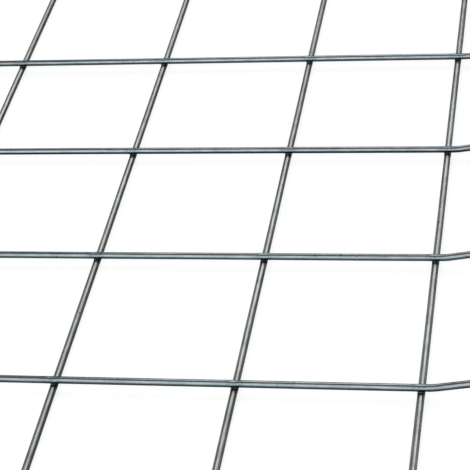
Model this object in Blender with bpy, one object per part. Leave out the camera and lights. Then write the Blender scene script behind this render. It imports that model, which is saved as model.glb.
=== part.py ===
"""Welded wire mesh panel: straight line wires with cross wires laid over them and resistance welded.

The panel lies flat. +Y runs along the line wires, +X along the cross wires and +Z up. The origin is
at the middle of the panel's outline, at the height of the floor that the line wires rest on.
"""

import math

import bmesh
import bpy
from mathutils import Matrix

# Wires
LINE_WIRE_DIAMETER = 0.0040
CROSS_WIRE_DIAMETER = 0.0040
LINE_WIRES = 5
CROSS_WIRES = 10

# Spacing, from one wire's axis to the next
LINE_WIRE_PITCH = 0.100
CROSS_WIRE_PITCH = 0.100

# Lengths of wire that stand past the outermost welds
END_OVERHANG = 0.050
SIDE_OVERHANG = 0.050

# Welds: how far the electrodes press each cross wire into the line wire below it,
# and the lens of metal that is squeezed out between the two
WELD_SET_DOWN = 0.0006
WELD_LENS_DIAMETER = 0.0054
WELD_LENS_THICKNESS = 0.0026

# The cross wires' ends on the +X side are kinked upwards where the panel was sheared.
# The angles are those of one wire after another from the -Y end, repeated when they run out.
KINK_ANGLES = [math.radians(degrees) for degrees in (8, 9, 11, 10, 10, 9, 4, 8, 6, 9)]
KINK_START = 0.0045
KINK_RADIUS = 0.030

# Faceting: bars have few sides, with one side of each flat on the floor. Every bar has a ring of
# points this far either side of a weld, so that the long faces between welds stay plain
BAR_BEVEL_RESOLUTION = 2
BAR_SIDES = 4 + 2 * BAR_BEVEL_RESOLUTION
WELD_ZONE = 0.0036
KINK_STEPS = 2
LENS_SEGMENTS = 8
LENS_RINGS = 4
WELD_MERGE = 0.000001

STEEL_COLOUR = (0.42, 0.44, 0.44, 1.0)
STEEL_ROUGHNESS = 0.35

LINE_AXIS_Z = LINE_WIRE_DIAMETER / 2
CONTACT_Z = LINE_WIRE_DIAMETER - WELD_SET_DOWN / 2
CROSS_AXIS_Z = LINE_WIRE_DIAMETER - WELD_SET_DOWN + CROSS_WIRE_DIAMETER / 2
HALF_LENGTH = (CROSS_WIRES - 1) * CROSS_WIRE_PITCH / 2 + END_OVERHANG
HALF_WIDTH = (LINE_WIRES - 1) * LINE_WIRE_PITCH / 2 + SIDE_OVERHANG


def clear_scene():
    for thing in list(bpy.data.objects):
        bpy.data.objects.remove(thing)


def new_collection(name):
    collection = bpy.data.collections.new(name)
    bpy.context.scene.collection.children.link(collection)
    return collection


def steel():
    material = bpy.data.materials.new("galvanised_steel_wire")
    material.use_nodes = True
    shader = material.node_tree.nodes["Principled BSDF"]
    shader.inputs["Base Color"].default_value = STEEL_COLOUR
    shader.inputs["Metallic"].default_value = 1.0
    shader.inputs["Roughness"].default_value = STEEL_ROUGHNESS
    return material


def spaced(count, pitch):
    """Places of a row of wires, evenly spaced about zero."""
    return [(number - (count - 1) / 2) * pitch for number in range(count)]


def weld_zone_ends(weld_places):
    return [place + side * WELD_ZONE for place in weld_places for side in (-1, 1)]


def line_wire_route(x, cross_places):
    ends = [-HALF_LENGTH, *weld_zone_ends(cross_places), HALF_LENGTH]
    return [(x, y, LINE_AXIS_Z) for y in ends]


def cross_wire_route(y, line_places, kink):
    """From the -X side straight over all the welds, then round the kink to the sheared tip.

    The tip's lower edge leans furthest out, and it ends in line with the panel's side.
    """
    bend_x = line_places[-1] + KINK_START
    route = [(x, y, CROSS_AXIS_Z) for x in (-HALF_WIDTH, *weld_zone_ends(line_places))]
    for step in range(KINK_STEPS + 1):
        turned = kink * step / KINK_STEPS
        x = bend_x + KINK_RADIUS * math.sin(turned)
        route.append((x, y, CROSS_AXIS_Z + KINK_RADIUS * (1 - math.cos(turned))))
    last_x, _, last_z = route[-1]
    tip_x = HALF_WIDTH - CROSS_WIRE_DIAMETER / 2 * math.sin(kink)
    route.append((tip_x, y, last_z + (tip_x - last_x) * math.tan(kink)))
    return route


def wires_mesh(name, routes, diameter):
    """Bars along the routes, as wide from flat to flat as the wire's diameter, in one mesh."""
    curve = bpy.data.curves.new(name, "CURVE")
    curve.dimensions = "3D"
    curve.bevel_depth = diameter / 2 / math.cos(math.pi / BAR_SIDES)
    curve.bevel_resolution = BAR_BEVEL_RESOLUTION
    curve.use_fill_caps = True
    for route in routes:
        spline = curve.splines.new("POLY")
        spline.points.add(len(route) - 1)
        for point, place in zip(spline.points, route):
            point.co = (*place, 1.0)
            point.tilt = math.pi / BAR_SIDES
    bar = bpy.data.objects.new(name, curve)
    bpy.context.scene.collection.objects.link(bar)
    evaluated = bar.evaluated_get(bpy.context.evaluated_depsgraph_get())
    mesh = bpy.data.meshes.new_from_object(evaluated)
    bpy.data.objects.remove(bar)
    shape = bmesh.new()
    shape.from_mesh(mesh)
    bmesh.ops.remove_doubles(shape, verts=shape.verts, dist=WELD_MERGE)
    shape.to_mesh(mesh)
    shape.free()
    return mesh


def weld_lenses_mesh(name, line_places, cross_places):
    """The squeezed-out metal of every weld: a flat lens centred where the two wires meet."""
    flattened = Matrix.Diagonal((WELD_LENS_DIAMETER / 2, WELD_LENS_DIAMETER / 2, WELD_LENS_THICKNESS / 2, 1))
    corner_first = Matrix.Rotation(math.pi / LENS_SEGMENTS, 4, "Z")
    shape = bmesh.new()
    for x in line_places:
        for y in cross_places:
            bmesh.ops.create_uvsphere(
                shape,
                u_segments=LENS_SEGMENTS,
                v_segments=LENS_RINGS,
                radius=1,
                matrix=Matrix.Translation((x, y, CONTACT_Z)) @ flattened @ corner_first,
            )
    mesh = bpy.data.meshes.new(name)
    shape.to_mesh(mesh)
    shape.free()
    return mesh


def add_object(name, mesh, collection):
    thing = bpy.data.objects.new(name, mesh)
    collection.objects.link(thing)
    return thing


def as_cutter(thing):
    thing.hide_render = True
    thing.display_type = "WIRE"
    return thing


def fuse(thing, other):
    union = thing.modifiers.new(other.name, "BOOLEAN")
    union.operation = "UNION"
    union.solver = "EXACT"
    union.object = other


def build_panel():
    clear_scene()
    parts = new_collection("welded_wire_mesh_panel")
    cutters = new_collection("cutters")
    line_places = spaced(LINE_WIRES, LINE_WIRE_PITCH)
    cross_places = spaced(CROSS_WIRES, CROSS_WIRE_PITCH)

    line_routes = [line_wire_route(x, cross_places) for x in line_places]
    cross_routes = [
        cross_wire_route(y, line_places, KINK_ANGLES[number % len(KINK_ANGLES)])
        for number, y in enumerate(cross_places)
    ]
    panel_mesh = wires_mesh("line_wires", line_routes, LINE_WIRE_DIAMETER)
    panel = add_object("mesh_panel", panel_mesh, parts)
    panel.data.materials.append(steel())

    cross_mesh = wires_mesh("cross_wires", cross_routes, CROSS_WIRE_DIAMETER)
    cross_wires = as_cutter(add_object("cross_wires", cross_mesh, cutters))
    lens_mesh = weld_lenses_mesh("weld_lenses", line_places, cross_places)
    weld_lenses = as_cutter(add_object("weld_lenses", lens_mesh, cutters))
    fuse(panel, cross_wires)
    fuse(panel, weld_lenses)


build_panel()
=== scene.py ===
"""The looks of a welded wire mesh panel: round drawn wires, the welds that join them, and a plain studio."""
import math

import bpy
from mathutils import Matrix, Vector


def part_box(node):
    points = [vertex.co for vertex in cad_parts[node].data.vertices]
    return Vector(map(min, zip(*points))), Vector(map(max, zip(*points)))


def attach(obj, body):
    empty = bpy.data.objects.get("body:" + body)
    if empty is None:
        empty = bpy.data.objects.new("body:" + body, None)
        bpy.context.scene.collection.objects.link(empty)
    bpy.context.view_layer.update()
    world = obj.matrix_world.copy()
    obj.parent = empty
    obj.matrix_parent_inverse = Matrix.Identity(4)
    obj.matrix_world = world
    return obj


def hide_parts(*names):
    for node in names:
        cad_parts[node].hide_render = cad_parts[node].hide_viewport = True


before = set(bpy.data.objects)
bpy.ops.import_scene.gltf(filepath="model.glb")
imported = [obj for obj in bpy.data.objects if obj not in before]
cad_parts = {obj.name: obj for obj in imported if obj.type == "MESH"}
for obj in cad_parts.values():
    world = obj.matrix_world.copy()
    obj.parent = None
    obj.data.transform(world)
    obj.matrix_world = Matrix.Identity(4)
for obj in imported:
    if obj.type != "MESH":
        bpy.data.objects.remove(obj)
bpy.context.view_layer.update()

# Line wires
# The lower layer: smooth round wires drawn from low-carbon rod and zinc coated, straightened, and
# sheared to the panel's length. They lie on the floor, one cell apart, and each is pressed a little
# flat on its underside where the lower electrodes held it.
outline_low, outline_high = (Vector(corner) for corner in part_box("mesh_panel"))
wire_diameter = 0.0040
wire_radius = wire_diameter / 2
cell_pitch = 0.100
line_axis_height = wire_radius
# how far each wire is off its place, in mm, and out of square, in mm per m, as a welding machine leaves
# them. The errors of the wires in the photograph bring each to where it is seen there
mm_in_m = 1000
line_wire_errors = ((0.4, -0.8), (-0.3, -0.5), (0.5, 1.5), (0.6, 1.5), (-0.9, -0.6))
cross_wire_errors = (
    (-0.5, 1.4),
    (0.6, -1.2),
    (0.2, 1.9),
    (-1.3, 5.0),
    (0.8, 1.9),
    (0.7, -1.6),
    (-0.2, -3.4),
    (0.5, -1.6),
    (-0.6, 1.9),
    (0.3, -0.8),
)


def laid(errors):
    """Each wire's place where it crosses the middle of the panel, and its slope."""
    middle = (len(errors) - 1) / 2
    true_places = [(number - middle) * cell_pitch for number in range(len(errors))]
    return [(place + off / mm_in_m, slope / mm_in_m) for place, (off, slope) in zip(true_places, errors)]


line_wires_laid = laid(line_wire_errors)
cross_wires_laid = laid(cross_wire_errors)


def crossing(line, cross):
    """Where one line wire and one cross wire meet, seen from above."""
    middle_x, line_slope = line
    middle_y, cross_slope = cross
    x = (middle_x + line_slope * middle_y) / (1 - line_slope * cross_slope)
    return x, middle_y + cross_slope * x


# a point on the floor under every weld
weld_points_mesh = bpy.data.meshes.new("weld_points")
under_welds = [(*crossing(line, cross), 0.0) for line in line_wires_laid for cross in cross_wires_laid]
weld_points_mesh.from_pydata(under_welds, [], [])
weld_points = bpy.data.objects.new("weld_points", weld_points_mesh)


def rings_along(start, end, welds):
    """Where a wire gets its rings of points: close together over welds and at the cut ends."""
    over_weld = (0.0, 0.0006, 0.0012, 0.0018, 0.0024, 0.0031, 0.0039, 0.0049, 0.0063, 0.0085)
    at_end = (0.0, 0.00025, 0.0006, 0.0011, 0.0018, 0.003, 0.006)
    between = (0.0125, 0.019, 0.028, 0.039)
    places = {start + step for step in at_end} | {end - step for step in at_end}
    for weld in welds:
        for step in over_weld + between:
            places |= {round(weld - step, 6), round(weld + step, 6)}
    return sorted(place for place in places if start <= place <= end)


def path_object(name, routes):
    """One open curve for each wire, which the wire tree then gives its round section."""
    curve = bpy.data.curves.new(name, "CURVE")
    curve.dimensions = "3D"
    for route in routes:
        spline = curve.splines.new("POLY")
        spline.points.add(len(route) - 1)
        for point, place in zip(spline.points, route):
            point.co = (*place, 1.0)
    thing = bpy.data.objects.new(name, curve)
    bpy.context.scene.collection.objects.link(thing)
    return thing


def node(tree, kind, feeds=(), **options):
    """Adds a node, sets its options, and feeds its sockets from a value or another node's socket."""
    made = tree.nodes.new(kind)
    for option, value in options.items():
        setattr(made, option, value)
    for socket, value in dict(feeds).items():
        if isinstance(value, bpy.types.NodeSocket):
            tree.links.new(value, made.inputs[socket])
        else:
            made.inputs[socket].default_value = value
    return made


def maths(tree, operation, first, second=0.0, third=0.0, clamp=False):
    feeds = {0: first, 1: second, 2: third}
    return node(tree, "ShaderNodeMath", feeds, operation=operation, use_clamp=clamp).outputs[0]


def vectors(tree, operation, first, second):
    return node(tree, "ShaderNodeVectorMath", {0: first, 1: second}, operation=operation).outputs[0]


def scaled(tree, vector, factor):
    return node(tree, "ShaderNodeVectorMath", {0: vector, "Scale": factor}, operation="SCALE").outputs[0]


def fade(tree, value, full, gone):
    """1 where value is at full or before it, falling smoothly to 0 at gone."""
    feeds = {"Value": value, "From Min": full, "From Max": gone, "To Min": 1.0, "To Max": 0.0}
    return node(tree, "ShaderNodeMapRange", feeds, interpolation_type="SMOOTHSTEP").outputs["Result"]


def add_sockets(tree, direction, kinds):
    for name, kind in kinds.items():
        tree.interface.new_socket(name, in_out=direction, socket_type="NodeSocket" + kind)


def add_inputs(tree, kind, defaults):
    """Inputs of one kind, each with the value that it has unless another is fed."""
    for name, value in defaults.items():
        socket = tree.interface.new_socket(name, in_out="INPUT", socket_type="NodeSocket" + kind)
        socket.default_value = value


def wire_tree():
    """Round wire along every curve it is given, pressed at the welds and nipped off at its ends."""
    tree = bpy.data.node_groups.new("round_drawn_wire", "GeometryNodeTree")
    add_sockets(tree, "INPUT", {"Paths": "Geometry", "Weld Places": "Object", "Finish": "Material"})
    add_sockets(tree, "OUTPUT", {"Wires": "Geometry"})
    sizes = {
        "Wire Radius": wire_radius,
        "Press Side": 1.0,
        "Press Depth": 0.00015,
        "Press Core": 0.0008,
        "Press Reach": 0.0045,
        "Weld Swell": 0.04,
        "Shear Reach": 0.0016,
        "Shear Pinch": 0.16,
        "Shear Slope": 0.22,
        "Burr Reach": 0.0004,
        "Burr Round": 0.10,
        "Wander": 0.0004,
        "Wanders To The Metre": 9.0,
        "Out Of Round": 0.04,
        "Dents To The Metre": 60.0,
    }
    add_inputs(tree, "Float", sizes)
    add_inputs(tree, "Vector", {"Along": (0.0, 1.0, 0.0)})
    add_inputs(tree, "Int", {"Sides": 24})
    given = node(tree, "NodeGroupInput").outputs
    place = node(tree, "GeometryNodeInputPosition").outputs[0]

    # straightened wire still wanders a little from side to side
    sideways = vectors(tree, "CROSS_PRODUCT", given["Along"], (0.0, 0.0, 1.0))
    feeds = {"Vector": place, "Scale": given["Wanders To The Metre"], "Detail": 1.0}
    noise = node(tree, "ShaderNodeTexNoise", feeds).outputs[0]
    swing = maths(tree, "MULTIPLY", maths(tree, "SUBTRACT", noise, 0.5), given["Wander"])
    feeds = {"Geometry": given["Paths"], "Offset": scaled(tree, sideways, swing)}
    paths = node(tree, "GeometryNodeSetPosition", feeds).outputs[0]

    # each ring of points remembers the wire's axis, its nearer cut end, and its nearest weld
    run = node(tree, "GeometryNodeSplineParameter").outputs["Length"]
    whole = node(tree, "GeometryNodeSplineLength").outputs["Length"]
    to_end = maths(tree, "SUBTRACT", whole, run)
    welds = node(tree, "GeometryNodeObjectInfo", {"Object": given["Weld Places"]}).outputs["Geometry"]
    feeds = {0: welds, "Sample Position": vectors(tree, "MULTIPLY", place, (1.0, 1.0, 0.0))}
    nearest = node(tree, "GeometryNodeProximity", feeds, target_element="POINTS").outputs["Distance"]
    memories = {
        "axis": ("FLOAT_VECTOR", place),
        "from_end": ("FLOAT", maths(tree, "MINIMUM", run, to_end)),
        "inward": ("FLOAT", maths(tree, "SIGN", maths(tree, "SUBTRACT", to_end, run))),
        "from_weld": ("FLOAT", nearest),
    }
    recalled = {}
    for name, (kind, value) in memories.items():
        feeds = {"Geometry": paths, "Name": name, "Value": value}
        paths = node(tree, "GeometryNodeStoreNamedAttribute", feeds, data_type=kind).outputs[0]
        reader = node(tree, "GeometryNodeInputNamedAttribute", {"Name": name}, data_type=kind)
        recalled[name] = reader.outputs["Attribute"]
    feeds = {"Resolution": given["Sides"], "Radius": given["Wire Radius"]}
    section = node(tree, "GeometryNodeCurvePrimitiveCircle", feeds).outputs["Curve"]
    feeds = {"Curve": paths, "Profile Curve": section, "Fill Caps": True}
    tubes = node(tree, "GeometryNodeCurveToMesh", feeds).outputs[0]

    # from the axis outwards: pressed flat on one side and swollen at welds, pinched and rounded at the ends
    pressed = fade(tree, recalled["from_weld"], given["Press Core"], given["Press Reach"])
    nipped = fade(tree, recalled["from_end"], 0.0, given["Shear Reach"])
    burr = fade(tree, recalled["from_end"], 0.0, given["Burr Reach"])
    offset = vectors(tree, "SUBTRACT", place, recalled["axis"])
    out = node(tree, "ShaderNodeSeparateXYZ", {0: offset}).outputs
    upright = maths(tree, "MULTIPLY", out["Z"], given["Press Side"])
    sunk = maths(tree, "MULTIPLY", pressed, given["Press Depth"])
    flat = maths(tree, "SUBTRACT", given["Wire Radius"], sunk)
    upright = maths(tree, "MULTIPLY", maths(tree, "MINIMUM", upright, flat), given["Press Side"])
    pinch = maths(tree, "SUBTRACT", 1.0, maths(tree, "MULTIPLY", nipped, given["Shear Pinch"]))
    rounding = maths(tree, "SUBTRACT", 1.0, maths(tree, "MULTIPLY", burr, given["Burr Round"]))
    feeds = {"Vector": place, "Scale": given["Dents To The Metre"], "Detail": 1.0}
    dents = node(tree, "ShaderNodeTexNoise", feeds).outputs[0]
    dented = maths(tree, "MULTIPLY_ADD", maths(tree, "SUBTRACT", dents, 0.5), given["Out Of Round"], 1.0)
    swollen = maths(tree, "MULTIPLY_ADD", pressed, given["Weld Swell"], dented)
    widen = maths(tree, "MULTIPLY", swollen, rounding)
    feeds = {
        "X": maths(tree, "MULTIPLY", out["X"], widen),
        "Y": maths(tree, "MULTIPLY", out["Y"], widen),
        "Z": maths(tree, "MULTIPLY", upright, maths(tree, "MULTIPLY", pinch, rounding)),
    }
    shaped = node(tree, "ShaderNodeCombineXYZ", feeds).outputs[0]
    above = maths(tree, "ADD", out["Z"], given["Wire Radius"])
    slope = maths(tree, "MULTIPLY", above, given["Shear Slope"])
    setback = maths(tree, "MULTIPLY", slope, maths(tree, "MULTIPLY", nipped, recalled["inward"]))
    shaped = vectors(tree, "ADD", shaped, scaled(tree, given["Along"], setback))
    feeds = {"Geometry": tubes, "Position": vectors(tree, "ADD", recalled["axis"], shaped)}
    wires = node(tree, "GeometryNodeSetPosition", feeds).outputs[0]
    for name in ("axis", "inward", "from_end"):
        wires = node(tree, "GeometryNodeRemoveAttribute", {"Geometry": wires, "Name": name}).outputs[0]

    wires = node(tree, "GeometryNodeRealizeInstances", {0: wires}).outputs[0]
    wires = node(tree, "GeometryNodeSetShadeSmooth", {0: wires}).outputs[0]
    feeds = {"Geometry": wires, "Material": given["Finish"]}
    wires = node(tree, "GeometryNodeSetMaterial", feeds).outputs[0]
    node(tree, "NodeGroupOutput", {0: wires})
    return tree


def grown(source, name, tree, values):
    """The plain mesh that the tree makes, in place of the object it was hung on."""
    modifier = source.modifiers.new(tree.name, "NODES")
    modifier.node_group = tree
    for socket in tree.interface.items_tree:
        if socket.in_out == "INPUT" and socket.name in values:
            modifier[socket.identifier] = values[socket.name]
    evaluated = source.evaluated_get(bpy.context.evaluated_depsgraph_get())
    piece = bpy.data.objects.new(name, bpy.data.meshes.new_from_object(evaluated))
    bpy.context.scene.collection.objects.link(piece)
    bpy.data.objects.remove(source)
    return piece


def skin_group():
    """The skin of drawn, zinc-coated wire: streaks, bloom, stains, nicks, weld scorch and painted shadow, and
    painted flank shade.
    """
    tree = bpy.data.node_groups.new("drawn_wire_skin", "ShaderNodeTree")
    colours = {
        "Bright": (0.3, 0.3, 0.3, 1.0),
        "Dull": (0.2, 0.2, 0.2, 1.0),
        "Heat Tint And Shadow": (0.1, 0.1, 0.1, 1.0),
        "Stain": (0.1, 0.1, 0.1, 1.0),
        "Dark Painted Shade": (0.2, 0.2, 0.2, 1.0),
        "Pale Painted Shade": (0.4, 0.4, 0.4, 1.0),
    }
    numbers = {
        "From Weld": 1.0,
        "Heat And Shadow Reach": 0.006,
        "Heat And Shadow Strength": 0.5,
        "Heat And Shadow Speckle": 0.1,
        "Stain Strength": 0.3,
        "Painted Shade From": 0.1,
        "Painted Shade To": 0.5,
        "Polish": 0.15,
        "Seed": 0.0,
        "Wire Seed": 0.0,
    }
    add_inputs(tree, "Vector", {"Along First": (0.0, 0.0, 0.0)})
    add_inputs(tree, "Color", colours)
    add_inputs(tree, "Float", numbers)
    add_sockets(tree, "OUTPUT", {"Color": "Color", "Roughness": "Float", "Height": "Float"})
    given = node(tree, "NodeGroupInput").outputs
    seeds = {"X": given["Seed"], "Y": given["Seed"]}
    start = node(tree, "ShaderNodeCombineXYZ", seeds).outputs[0]

    def pattern(to_the_metre, detail, begun=start):
        """Cloudy noise, with so many grains to the metre along the wire, across it and upwards."""
        stretched = vectors(tree, "MULTIPLY", given["Along First"], to_the_metre)
        feeds = {"Vector": vectors(tree, "ADD", stretched, begun), "Scale": 1.0, "Detail": detail}
        return node(tree, "ShaderNodeTexNoise", feeds).outputs[0]

    def blend(amount, first, second, kind="MIX"):
        feeds = {0: amount, 6: first, 7: second}
        return node(tree, "ShaderNodeMix", feeds, data_type="RGBA", blend_type=kind).outputs[2]

    # drawing streaks run far along the wire, and the other marks are a few times longer than wide
    streaks = pattern((7.0, 1300.0, 1300.0), 2.0)
    bloom = pattern((95.0, 380.0, 380.0), 3.0)
    patches = pattern((22.0, 60.0, 60.0), 2.0)
    marks = fade(tree, pattern((120.0, 620.0, 620.0), 2.0), 0.40, 0.58)
    stretched = vectors(tree, "MULTIPLY", given["Along First"], (190.0, 430.0, 430.0))
    cells = node(tree, "ShaderNodeTexVoronoi", {"Vector": stretched, "Scale": 1.0}).outputs["Distance"]
    nicks = maths(tree, "MULTIPLY", fade(tree, cells, 0.10, 0.22), fade(tree, patches, 0.38, 0.44))

    # the welding heat leaves a dark stretch with a ragged, speckled edge. On the line wires it is near black
    # and is there mainly painted shadow, where the cross wire shades them at the weld
    ragged_by = 0.004
    speckle = pattern((900.0, 900.0, 900.0), 3.0)
    ragged = maths(tree, "MULTIPLY_ADD", maths(tree, "SUBTRACT", speckle, 0.5), ragged_by, given["From Weld"])
    darkest_to = maths(tree, "MULTIPLY", given["Heat And Shadow Reach"], 0.45)
    heat_and_painted_shadow = fade(tree, ragged, darkest_to, given["Heat And Shadow Reach"])
    spots = maths(tree, "MULTIPLY", fade(tree, speckle, 0.44, 0.54), given["Heat And Shadow Speckle"])
    heat_and_painted_shadow = maths(tree, "MULTIPLY", heat_and_painted_shadow, maths(tree, "SUBTRACT", given["Heat And Shadow Strength"], spots))

    # painted shade: the colour darkens where the flanks face sideways and down. No two wires are quite alike:
    # on some wires this painted shade is darker than on others
    facing = node(tree, "ShaderNodeTexCoord").outputs["Normal"]
    upward = node(tree, "ShaderNodeSeparateXYZ", {0: facing}).outputs["Z"]
    painted_shade_mask = fade(tree, upward, given["Painted Shade From"], given["Painted Shade To"])
    own_start = node(tree, "ShaderNodeCombineXYZ", {**seeds, "Z": given["Wire Seed"]}).outputs[0]
    shade_depth_per_wire = pattern((0.0, 13.0, 0.0), 0.0, own_start)
    painted_shade_tint = blend(fade(tree, shade_depth_per_wire, 0.38, 0.62), given["Pale Painted Shade"], given["Dark Painted Shade"])

    nick_dark = (0.012, 0.013, 0.015, 1.0)
    lively = maths(tree, "MULTIPLY_ADD", streaks, 0.6, maths(tree, "MULTIPLY", bloom, 0.4))
    shine = fade(tree, lively, 0.60, 0.38)
    colour = blend(shine, given["Dull"], given["Bright"])
    colour = blend(maths(tree, "MULTIPLY", marks, given["Stain Strength"]), colour, given["Stain"])
    colour = blend(heat_and_painted_shadow, colour, given["Heat Tint And Shadow"])
    colour = blend(maths(tree, "MULTIPLY", nicks, 0.75), colour, nick_dark)
    colour = blend(painted_shade_mask, colour, painted_shade_tint, "MULTIPLY")

    rough = maths(tree, "MULTIPLY_ADD", bloom, 0.12, given["Polish"])
    rough = maths(tree, "MULTIPLY_ADD", heat_and_painted_shadow, 0.12, rough)
    rough = maths(tree, "MULTIPLY_ADD", nicks, 0.20, rough, clamp=True)
    height = maths(tree, "MULTIPLY_ADD", streaks, 0.3, maths(tree, "MULTIPLY", bloom, 0.25))
    height = maths(tree, "MULTIPLY_ADD", maths(tree, "MULTIPLY", speckle, heat_and_painted_shadow), 0.6, height)
    height = maths(tree, "SUBTRACT", height, nicks)
    node(tree, "NodeGroupOutput", {"Color": colour, "Roughness": rough, "Height": height})
    return tree


def wire_steel(name, group, turn, edge_tint, values):
    """Zinc-coated drawn steel, with its pattern turned so that its first axis runs along the wire.

    edge_tint is what is left of the gloss where the surface turns away from the eye.
    """
    material = bpy.data.materials.new(name)
    material.use_nodes = True
    tree = material.node_tree
    shader = tree.nodes["Principled BSDF"]
    shader.inputs["Metallic"].default_value = 1.0
    shader.inputs["Specular Tint"].default_value = edge_tint
    where = node(tree, "ShaderNodeTexCoord").outputs["Object"]
    turned = node(tree, "ShaderNodeMapping", {"Vector": where, "Rotation": (0.0, 0.0, turn)}).outputs[0]
    from_weld = node(tree, "ShaderNodeAttribute", attribute_name="from_weld").outputs["Fac"]
    feeds = {**values, "Along First": turned, "From Weld": from_weld}
    skin = node(tree, "ShaderNodeGroup", feeds, node_tree=group).outputs
    relief = node(tree, "ShaderNodeBump", {"Height": skin["Height"], "Strength": 0.5, "Distance": 0.0001})
    tree.links.new(skin["Color"], shader.inputs["Base Color"])
    tree.links.new(skin["Roughness"], shader.inputs["Roughness"])
    tree.links.new(relief.outputs[0], shader.inputs["Normal"])
    return material


drawn_wire_skin = skin_group()
round_drawn_wire = wire_tree()
line_wire_steel = wire_steel(
    "line_wire_steel",
    drawn_wire_skin,
    math.radians(-90),
    (0.55, 0.58, 0.58, 1.0),
    {
        "Bright": (0.288, 0.310, 0.297, 1.0),
        "Dull": (0.208, 0.216, 0.203, 1.0),
        # near black: mainly painted shadow where the cross wire shades the line wire at each weld, with some
        # heat tint
        "Heat Tint And Shadow": (0.022, 0.03, 0.03, 1.0),
        "Heat And Shadow Reach": 0.0044,
        "Heat And Shadow Strength": 0.94,
        "Stain": (0.115, 0.112, 0.098, 1.0),
        "Stain Strength": 0.40,
        # painted shade on the flanks, deeper on some wires than on others
        "Dark Painted Shade": (0.225, 0.270, 0.250, 1.0),
        "Pale Painted Shade": (0.45, 0.50, 0.48, 1.0),
        "Painted Shade From": 0.44,
        "Painted Shade To": 0.80,
        "Polish": 0.26,
        "Seed": 3.0,
        "Wire Seed": 87.11,
    },
)


def line_route(line):
    """The line wire's axis, straight from one cut end to the other."""
    middle_x, slope = line
    welds = [crossing(line, cross)[1] for cross in cross_wires_laid]
    rings = rings_along(outline_low.y, outline_high.y, welds)
    return [(middle_x + slope * y, y, line_axis_height) for y in rings]


line_wires = grown(
    path_object("line_wire_paths", [line_route(line) for line in line_wires_laid]),
    "line_wires",
    round_drawn_wire,
    {
        "Weld Places": weld_points,
        "Press Side": -1.0,
        "Press Depth": 0.00010,
        "Along": (0.0, 1.0, 0.0),
        "Finish": line_wire_steel,
    },
)
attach(line_wires, "root")
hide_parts("mesh_panel")

# Cross wires
# The upper layer: the same wire laid across the line wires and welded to each. The upper electrode
# leaves a small flat on top at every weld. Past the last line wire on the +X side the ends were
# kinked upwards when the panel was sheared, each by its own amount.
weld_set_down = 0.0006
cross_axis_height = wire_diameter - weld_set_down + wire_radius
kink_degrees = (8, 9, 10.7, 10.8, 10.4, 8.6, 4, 8, 6, 9)
kink_beyond_weld = 0.0035
kink_radius = 0.030


def kinked_route(cross, kink):
    """The cross wire's axis: level over the welds, round the kink, then straight to the tip."""
    middle_y, slope = cross
    welds = [crossing(line, cross)[0] for line in line_wires_laid]
    kink_start = welds[-1] + kink_beyond_weld
    arc_end = kink_radius * math.sin(kink)
    tip = outline_high.x - wire_radius * math.sin(kink)
    route = []
    for x in rings_along(outline_low.x, tip, welds):
        past = max(0.0, x - kink_start)
        rise = kink_radius - math.sqrt(kink_radius**2 - min(past, arc_end) ** 2)
        rise += max(0.0, past - arc_end) * math.tan(kink)
        route.append((x, middle_y + slope * x, cross_axis_height + rise))
    return route


cross_wire_steel = wire_steel(
    "cross_wire_steel",
    drawn_wire_skin,
    0.0,
    (0.22, 0.24, 0.24, 1.0),
    {
        "Bright": (0.243, 0.278, 0.298, 1.0),
        "Dull": (0.170, 0.198, 0.215, 1.0),
        "Heat Tint And Shadow": (0.080, 0.122, 0.130, 1.0),
        "Heat And Shadow Reach": 0.0072,
        "Heat And Shadow Strength": 0.60,
        "Heat And Shadow Speckle": 0.42,
        "Stain": (0.075, 0.105, 0.11, 1.0),
        "Stain Strength": 0.25,
        # painted shade on the flanks, deeper on some wires than on others
        "Dark Painted Shade": (0.130, 0.160, 0.165, 1.0),
        "Pale Painted Shade": (0.35, 0.42, 0.43, 1.0),
        "Painted Shade From": 0.10,
        "Painted Shade To": 0.46,
        "Polish": 0.12,
        "Seed": 11.0,
        "Wire Seed": 664.02,
    },
)
kinks = [math.radians(degrees) for degrees in kink_degrees]
cross_wires = grown(
    path_object("cross_wire_paths", map(kinked_route, cross_wires_laid, kinks)),
    "cross_wires",
    round_drawn_wire,
    {
        "Weld Places": weld_points,
        "Along": (1.0, 0.0, 0.0),
        "Finish": cross_wire_steel,
    },
)
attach(cross_wires, "root")
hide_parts("mesh_panel")

# Welds
# Resistance welds, with no filler: the two wires are pressed together hot, and a lens of their own
# steel is squeezed out round the contact and freezes there, rough and dull from the heat.
lens_diameter = 0.0046
lens_thickness = 0.0022
contact_height = wire_diameter - weld_set_down / 2


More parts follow.
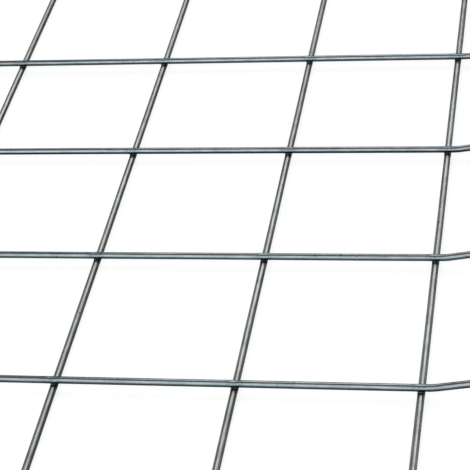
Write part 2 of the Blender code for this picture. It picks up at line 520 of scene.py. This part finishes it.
def weld_tree():
    """A lumpy lens of metal over every point it is given."""
    tree = bpy.data.node_groups.new("squeezed_out_welds", "GeometryNodeTree")
    add_sockets(tree, "INPUT", {"Weld Places": "Geometry", "Finish": "Material"})
    add_sockets(tree, "OUTPUT", {"Welds": "Geometry"})
    sizes = {
        "Lens Diameter": lens_diameter,
        "Lens Thickness": lens_thickness,
        "Contact Height": contact_height,
        "Smallest": 0.92,
        "Largest": 1.08,
        "Lump Depth": 0.0005,
        "Lumps To The Metre": 650.0,
    }
    add_inputs(tree, "Float", sizes)
    add_inputs(tree, "Int", {"Segments": 28, "Rings": 12, "Seed": 5})
    given = node(tree, "NodeGroupInput").outputs

    # a flat lens at every weld, each turned its own way and a little smaller or larger than the next
    feeds = {"Segments": given["Segments"], "Rings": given["Rings"], "Radius": 0.5}
    ball = node(tree, "GeometryNodeMeshUVSphere", feeds).outputs["Mesh"]
    feeds = {"X": given["Lens Diameter"], "Y": given["Lens Diameter"], "Z": given["Lens Thickness"]}
    squeeze = node(tree, "ShaderNodeCombineXYZ", feeds).outputs[0]
    feeds = {2: given["Smallest"], 3: given["Largest"], "Seed": given["Seed"]}
    spread = node(tree, "FunctionNodeRandomValue", feeds, data_type="FLOAT").outputs[1]
    feeds = {0: (0.0, 0.0, 0.0), 1: (0.0, 0.0, math.tau), "Seed": given["Seed"]}
    turned = node(tree, "FunctionNodeRandomValue", feeds, data_type="FLOAT_VECTOR").outputs[0]
    feeds = {
        "Points": given["Weld Places"],
        "Instance": ball,
        "Rotation": turned,
        "Scale": scaled(tree, squeeze, spread),
    }
    lenses = node(tree, "GeometryNodeInstanceOnPoints", feeds).outputs[0]

    # realized before the lumps are raised, so that every lens has lumps of its own
    lenses = node(tree, "GeometryNodeRealizeInstances", {0: lenses}).outputs[0]
    place = node(tree, "GeometryNodeInputPosition").outputs[0]
    feeds = {"Vector": place, "Scale": given["Lumps To The Metre"], "Detail": 2.0}
    noise = node(tree, "ShaderNodeTexNoise", feeds).outputs[0]
    bump = maths(tree, "MULTIPLY", maths(tree, "SUBTRACT", noise, 0.5), given["Lump Depth"])
    normal = node(tree, "GeometryNodeInputNormal").outputs[0]
    lift = node(tree, "ShaderNodeCombineXYZ", {"Z": given["Contact Height"]}).outputs[0]
    feeds = {"Geometry": lenses, "Offset": vectors(tree, "ADD", scaled(tree, normal, bump), lift)}
    lenses = node(tree, "GeometryNodeSetPosition", feeds).outputs[0]
    lenses = node(tree, "GeometryNodeSetShadeSmooth", {0: lenses}).outputs[0]
    feeds = {"Geometry": lenses, "Material": given["Finish"]}
    lenses = node(tree, "GeometryNodeSetMaterial", feeds).outputs[0]
    node(tree, "NodeGroupOutput", {0: lenses})
    return tree


def weld_steel():
    """Steel that melted and froze: rough, dark grey and finely grained, its darkness partly painted shadow.
    """
    material = bpy.data.materials.new("weld_steel")
    material.use_nodes = True
    tree = material.node_tree
    shader = tree.nodes["Principled BSDF"]
    shader.inputs["Metallic"].default_value = 1.0
    where = node(tree, "ShaderNodeTexCoord").outputs["Object"]
    grain = node(tree, "ShaderNodeTexNoise", {"Vector": where, "Scale": 900.0, "Detail": 4.0}).outputs[0]
    ramp = node(tree, "ShaderNodeValToRGB", {0: grain})
    # both stops are dark: heat-darkened steel, and partly painted shadow round the contact under the cross
    # wire
    burnt_and_shaded, grey = ramp.color_ramp.elements
    burnt_and_shaded.position = 0.40
    burnt_and_shaded.color = (0.015, 0.021, 0.022, 1.0)
    grey.position = 0.75
    grey.color = (0.10, 0.12, 0.12, 1.0)
    tree.links.new(ramp.outputs[0], shader.inputs["Base Color"])
    tree.links.new(maths(tree, "MULTIPLY_ADD", grain, 0.3, 0.25), shader.inputs["Roughness"])
    relief = node(tree, "ShaderNodeBump", {"Height": grain, "Strength": 0.6, "Distance": 0.0002})
    tree.links.new(relief.outputs[0], shader.inputs["Normal"])
    return material


bpy.context.scene.collection.objects.link(weld_points)
welds = grown(weld_points, "welds", weld_tree(), {"Finish": weld_steel()})
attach(welds, "root")
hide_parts("mesh_panel")

# Floor
# Plain and pale, and turned up at its far edges. It looks near white to the eye and in the wires, and
# keeps their soft shadow.
floor_reach = 12.0
floor_height = -0.0002
wall_height = 2.4
corners = [
    (-floor_reach, -floor_reach),
    (floor_reach, -floor_reach),
    (floor_reach, floor_reach),
    (-floor_reach, floor_reach),
]
places = [(x, y, z) for z in (floor_height, wall_height) for x, y in corners]
walls_round = [(n, n + 4, (n + 1) % 4 + 4, (n + 1) % 4) for n in range(4)]
floor_mesh = bpy.data.meshes.new("floor")
floor_mesh.from_pydata(places, [], [(0, 1, 2, 3), *walls_round])
floor = bpy.data.objects.new("floor", floor_mesh)
bpy.context.scene.collection.objects.link(floor)


def seen_directly(tree):
    """1 for what is seen straight, in metal or through glass, and 0 for the light that falls on things."""
    ray = node(tree, "ShaderNodeLightPath").outputs
    either = maths(tree, "MAXIMUM", ray["Is Camera Ray"], ray["Is Glossy Ray"])
    return maths(tree, "MAXIMUM", either, ray["Is Transmission Ray"])


# seen straight or mirrored, the floor glows near white and takes only a faint shadow. For the light that
# bounces off it onto the wires, it is plain pale paint
floor_paint = bpy.data.materials.new("floor_paint")
floor_paint.use_nodes = True
paint = floor_paint.node_tree
paint.nodes.remove(paint.nodes["Principled BSDF"])
lit = node(paint, "ShaderNodeBsdfDiffuse", {"Color": (0.80, 0.80, 0.80, 1.0)})
faint = node(paint, "ShaderNodeBsdfDiffuse", {"Color": (0.24, 0.24, 0.24, 1.0)})
glow = node(paint, "ShaderNodeEmission", {"Color": (1.0, 1.0, 1.0, 1.0), "Strength": 0.82})
shown = node(paint, "ShaderNodeAddShader", {0: faint.outputs[0], 1: glow.outputs[0]})
chosen = node(paint, "ShaderNodeMixShader", {0: seen_directly(paint), 1: lit.outputs[0], 2: shown.outputs[0]})
paint.links.new(chosen.outputs[0], paint.nodes["Material Output"].inputs["Surface"])
floor.data.materials.append(floor_paint)

# an even, weaker light from all round
world = bpy.data.worlds.new("studio")
bpy.context.scene.world = world
world.use_nodes = True
surroundings = world.node_tree.nodes["Background"]
surroundings.inputs["Color"].default_value = (0.98, 0.99, 1.0, 1.0)
surroundings.inputs["Strength"].default_value = 0.345

# Lamps
# A tall soft box behind the camera lights the cross wires along their middle, and a wide one behind
# the panel does the same for the line wires. A faint one on the left fills the line wires' left sides.


def soft_box(name, azimuth, elevation, distance, width, height, radiance):
    """azimuth is measured from +Y towards +X. The box faces the middle of the panel."""
    lamp = bpy.data.lights.new(name, "AREA")
    lamp.shape = "RECTANGLE"
    lamp.size = width
    lamp.size_y = height
    lamp.energy = radiance * math.pi * width * height
    side = math.radians(azimuth)
    up = math.radians(elevation)
    towards = Vector((math.sin(side) * math.cos(up), math.cos(side) * math.cos(up), math.sin(up)))
    box = bpy.data.objects.new(name, lamp)
    box.location = towards * distance
    box.rotation_euler = towards.to_track_quat("Z", "Y").to_euler()
    box.visible_camera = False
    bpy.context.scene.collection.objects.link(box)


soft_box("front_box", azimuth=192, elevation=35, distance=2.2, width=2.8, height=2.5, radiance=1.9)
soft_box("rear_box", azimuth=10, elevation=43, distance=5.0, width=4.6, height=2.5, radiance=2.6)
soft_box("left_fill", azimuth=-50, elevation=28, distance=5.0, width=3.6, height=2.7, radiance=0.2)

# Camera
# At the photograph's angle: above the near side of the panel, a little to its right, with a long lens.
camera_data = bpy.data.cameras.new("camera")
camera_data.sensor_width = 36.0
camera_data.lens = 125.454
camera = bpy.data.objects.new("camera", camera_data)
camera.location = (0.28495, -0.74060, 0.61831)
camera.rotation_euler = [math.radians(angle) for angle in (49.894, 7.752, 9.565)]
bpy.context.scene.collection.objects.link(camera)
bpy.context.scene.camera = camera
bpy.context.scene.view_settings.view_transform = "Standard"
